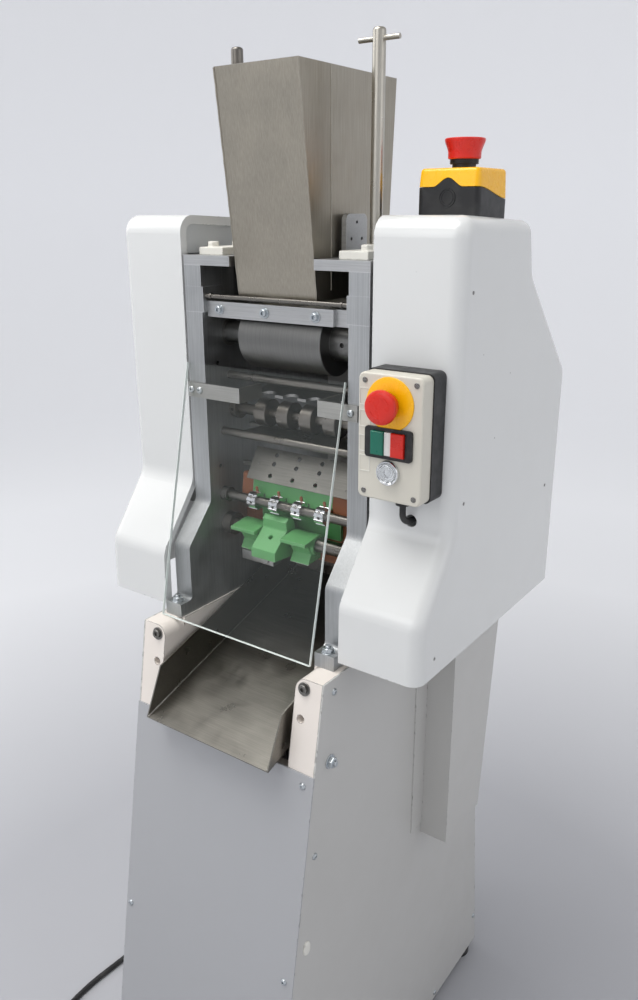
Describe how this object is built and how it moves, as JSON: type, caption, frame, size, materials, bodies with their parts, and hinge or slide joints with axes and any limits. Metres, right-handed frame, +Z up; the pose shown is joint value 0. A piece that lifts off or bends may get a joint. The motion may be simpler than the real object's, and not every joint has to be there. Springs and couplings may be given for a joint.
{
  "type": "dough sheeter",
  "caption": "Free-standing hopper-fed dough sheeter with sheeting rolls, cutting discs, forming fingers, outlet chute, clear guard, side covers and stop buttons on a tapered stand.",
  "frame": {"origin": "on the floor, at the middle of the machine's width and of the stand's depth", "axes": "+Z up, -Y towards the operator, +X to the operator's right"},
  "size_m": [0.6764, 0.7661, 1.628],
  "materials": {
    "stand_paint": "semi-gloss cream enamel",
    "side_paint": "semi-gloss warm grey",
    "front_paint": "satin light grey",
    "cover_white": "glossy gel coat",
    "machined_aluminium": "milled",
    "steel": "turned",
    "bright_steel": "ground",
    "stainless_sheet": "brushed sheet",
    "chrome": "polished",
    "zinc": "zinc plated",
    "green_enamel": "semi-gloss",
    "brown_phenolic": "sawn",
    "white_enamel": "semi-gloss",
    "clear_acrylic": "clear",
    "beige_plastic": "moulded",
    "black_plastic": "moulded",
    "yellow_plastic": "moulded",
    "red_plastic": "moulded",
    "green_plastic": "moulded",
    "lamp_lens": "fluted",
    "black_rubber": "matt",
    "motor_grey": "satin"
  },
  "bodies": {
    "root": {"base_frame": "stand_paint", "side_panels": "side_paint", "front_panel": "front_paint", "rear_panel": "side_paint", "levelling_feet": "black_rubber", "motor_plate": "steel", "gear_motor": "motor_grey", "cable_glands": "black_plastic", "mains_cord": "black_rubber", "cord_coil": "black_rubber", "mains_plug": "black_rubber", "chute": "stainless_sheet", "left_side_frame": "machined_aluminium", "right_side_frame": "machined_aluminium", "top_plate": "machined_aluminium", "cap_blocks": "machined_aluminium", "rear_guard": "side_paint", "hex_bolts": "zinc", "tie_rods": "steel", "scraper_bar": "machined_aluminium", "screws": "zinc", "guard_brackets": "stainless_sheet", "disc_comb": "green_enamel", "guide_tray": "stainless_sheet", "guide_plate": "stainless_sheet", "die_block": "green_enamel", "die_backing": "brown_phenolic", "feed_belt": "black_rubber", "shaft_bushes": "steel", "drive_belt": "black_rubber", "belt_guard": "side_paint", "left_cover": "cover_white", "right_cover": "cover_white", "hopper": "stainless_sheet", "hopper_bracket": "machined_aluminium", "rod_blocks": "white_enamel", "station_base": "black_plastic", "station_lid": "beige_plastic", "indicator_lamp": "lamp_lens", "station_cable": "black_rubber", "stop_box_base": "black_plastic", "stop_box_lid": "yellow_plastic"},
    "front_roll": {"front_roll": "steel"},
    "rear_roll": {"rear_roll": "steel", "drive_pulley": "machined_aluminium"},
    "disc_shaft": {"disc_shaft": "bright_steel"},
    "feed_shaft": {"feed_shaft": "bright_steel", "feed_collars": "chrome"},
    "finger_shaft": {"finger_shaft": "bright_steel", "finger_arms": "green_enamel"},
    "motor_pulley": {"motor_pulley": "machined_aluminium"},
    "pressure_pad": {"pressure_pad": "steel"},
    "t_spindle": {"t_spindle": "bright_steel"},
    "guard": {"guard": "clear_acrylic"},
    "station_stop_stem": {"station_stop_stem": "black_plastic"},
    "station_stop_button": {"station_stop_button": "red_plastic"},
    "start_button": {"start_button": "green_plastic"},
    "stop_button": {"stop_button": "red_plastic"},
    "stop_box_stem": {"stop_box_stem": "black_plastic"},
    "stop_box_button": {"stop_box_button": "red_plastic"}
  },
  "joints": [
    {"name": "rear_roll_spin", "type": "hinge", "parent": "root", "child": "rear_roll", "pos_m": [0, 0.069, 1.263], "axis": [1, 0, 0], "continuous": true},
    {"name": "front_roll_spin", "type": "hinge", "parent": "root", "child": "front_roll", "pos_m": [0, -0.027, 1.263], "axis": [1, 0, 0], "continuous": true},
    {"name": "disc_shaft_spin", "type": "hinge", "parent": "root", "child": "disc_shaft", "pos_m": [0, -0.022, 1.152], "axis": [1, 0, 0], "continuous": true},
    {"name": "feed_shaft_spin", "type": "hinge", "parent": "root", "child": "feed_shaft", "pos_m": [0, -0.053, 1.027], "axis": [1, 0, 0], "continuous": true},
    {"name": "motor_pulley_spin", "type": "hinge", "parent": "root", "child": "motor_pulley", "pos_m": [0.1, 0.171, 0.59], "axis": [1, 0, 0], "continuous": true},
    {"name": "finger_rock", "type": "hinge", "parent": "root", "child": "finger_shaft", "pos_m": [0, -0.046, 0.979], "axis": [1, 0, 0], "range_deg": [-10, 10]},
    {"name": "pad_lift", "type": "slide", "parent": "root", "child": "pressure_pad", "axis": [0, 0, 1], "range_m": [0, 0.0045]},
    {"name": "spindle_turn", "type": "hinge", "parent": "pressure_pad", "child": "t_spindle", "pos_m": [0.109, -0.007, 1.318], "axis": [0, 0, 1], "range_deg": [0, 1080]},
    {"name": "guard_tip", "type": "hinge", "parent": "root", "child": "guard", "pos_m": [0, -0.16741, 0.86436], "axis": [1, 0, 0], "range_deg": [0, 95]},
    {"name": "station_stop_press", "type": "slide", "parent": "root", "child": "station_stop_stem", "axis": [0, 1, 0], "range_m": [0, 0.004], "stiffness_N_per_m": 400, "springref_m": -0.003},
    {"name": "station_stop_twist", "type": "hinge", "parent": "station_stop_stem", "child": "station_stop_button", "pos_m": [0.211, -0.1344, 1.217], "axis": [0, -1, 0], "range_deg": [-30, 0], "stiffness_Nm_per_rad": 0.03},
    {"name": "start_press", "type": "slide", "parent": "root", "child": "start_button", "axis": [0, 1, 0], "range_m": [0, 0.003], "stiffness_N_per_m": 300, "springref_m": -0.002},
    {"name": "stop_press", "type": "slide", "parent": "root", "child": "stop_button", "axis": [0, 1, 0], "range_m": [0, 0.003], "stiffness_N_per_m": 300, "springref_m": -0.002},
    {"name": "stop_box_press", "type": "slide", "parent": "root", "child": "stop_box_stem", "axis": [0, 0, -1], "range_m": [0, 0.004], "stiffness_N_per_m": 600, "springref_m": -0.004},
    {"name": "stop_box_twist", "type": "hinge", "parent": "stop_box_stem", "child": "stop_box_button", "pos_m": [0.208, 0.029, 1.4725], "axis": [0, 0, 1], "range_deg": [-30, 0], "stiffness_Nm_per_rad": 0.03}
  ],
  "couplings": [
    {"joint": "front_roll_spin", "follows": "rear_roll_spin", "ratio": -1},
    {"joint": "disc_shaft_spin", "follows": "rear_roll_spin", "ratio": -1},
    {"joint": "feed_shaft_spin", "follows": "rear_roll_spin", "ratio": -1.3333},
    {"joint": "motor_pulley_spin", "follows": "rear_roll_spin", "ratio": 1.2},
    {"joint": "spindle_turn", "follows": "pad_lift", "rad_per_m": 4188.8}
  ]
}
